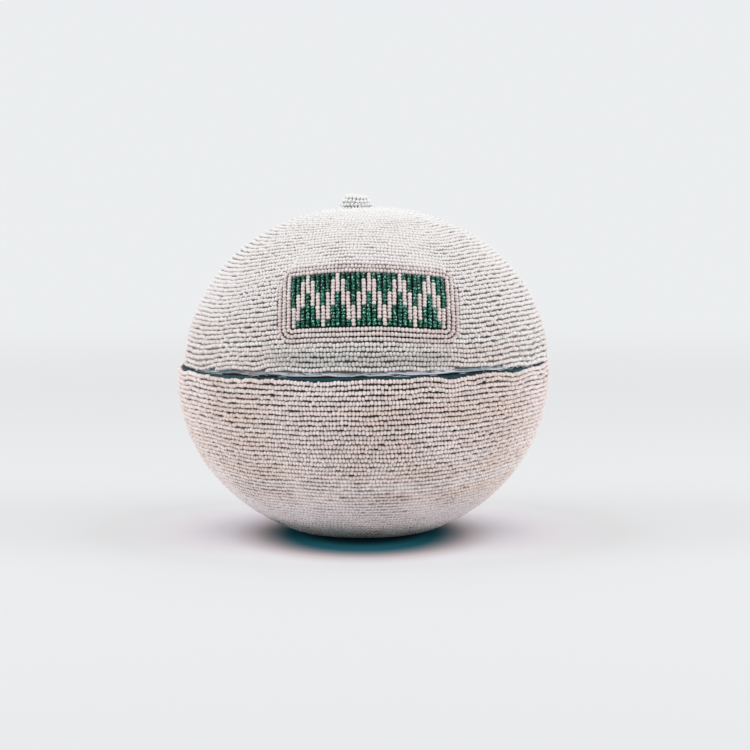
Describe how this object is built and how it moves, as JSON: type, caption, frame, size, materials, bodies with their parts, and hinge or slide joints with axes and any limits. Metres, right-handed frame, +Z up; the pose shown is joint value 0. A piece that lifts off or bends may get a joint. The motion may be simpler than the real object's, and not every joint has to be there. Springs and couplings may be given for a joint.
{
  "type": "lidded beaded calabash bowl",
  "caption": "Round gourd bowl with a lift-off domed lid, sewn all over with rows of pale glass seed beads, with a framed panel of green stepped triangles on the lid and a small beaded knob.",
  "frame": {"origin": "middle of the round base, on the surface the bowl stands on", "axes": "+Z up through the knob, -Y towards the lid's panel, +X to the viewer's right"},
  "size_m": [0.1856, 0.1856, 0.1686],
  "materials": {
    "gourd": "scraped dried gourd",
    "ground_cotton": "plain cotton, seen between the beads",
    "pale_binding": "washed-out cotton",
    "dark_binding": "dark blue-green satin",
    "lid_beads": "opaque white glass, satin",
    "bowl_beads": "opaque off-white glass, satin",
    "panel_beads": "opaque pinkish white glass, satin",
    "green_beads": "transparent emerald glass over dark thread"
  },
  "bodies": {
    "bowl": {"bowl_gourd": "gourd", "bowl_ground_cloth": "ground_cotton", "bowl_rim_binding": "dark_binding", "base_cloth": "ground_cotton", "bowl_rim_strings": "bowl_beads", "bowl_upper_strings": "bowl_beads", "bowl_middle_strings": "bowl_beads", "bowl_lower_strings": "bowl_beads", "bowl_underside_strings": "bowl_beads", "bowl_foot_strings": "bowl_beads"},
    "lid": {"lid_gourd": "gourd", "lid_ground_cloth": "ground_cotton", "lid_rim_binding": "pale_binding", "lid_collar": "pale_binding", "lid_rim_strings": "lid_beads", "lid_lower_strings": "lid_beads", "lid_middle_strings": "lid_beads", "lid_upper_strings": "lid_beads", "lid_shoulder_strings": "lid_beads", "lid_crown_strings": "lid_beads", "knob_core": "ground_cotton", "knob_string_1": "lid_beads", "knob_string_2": "lid_beads", "knob_string_3": "lid_beads", "knob_string_4": "lid_beads", "panel_border_inner": "panel_beads", "panel_border_outer": "panel_beads", "panel_border_lower": "panel_beads", "panel_pale_strings": "panel_beads", "panel_tooth_lower_1": "green_beads", "panel_tooth_lower_2": "green_beads", "panel_tooth_lower_3": "green_beads", "panel_tooth_lower_4": "green_beads", "panel_tooth_lower_5": "green_beads", "panel_tooth_upper_1": "green_beads", "panel_tooth_upper_2": "green_beads", "panel_tooth_upper_3": "green_beads", "panel_tooth_upper_4": "green_beads", "panel_tooth_upper_5": "green_beads", "panel_tooth_upper_6": "green_beads"}
  },
  "joints": [
    {"name": "lid_lift", "type": "slide", "parent": "bowl", "child": "lid", "axis": [0, 0, 1], "range_m": [0, 0.12]}
  ]
}
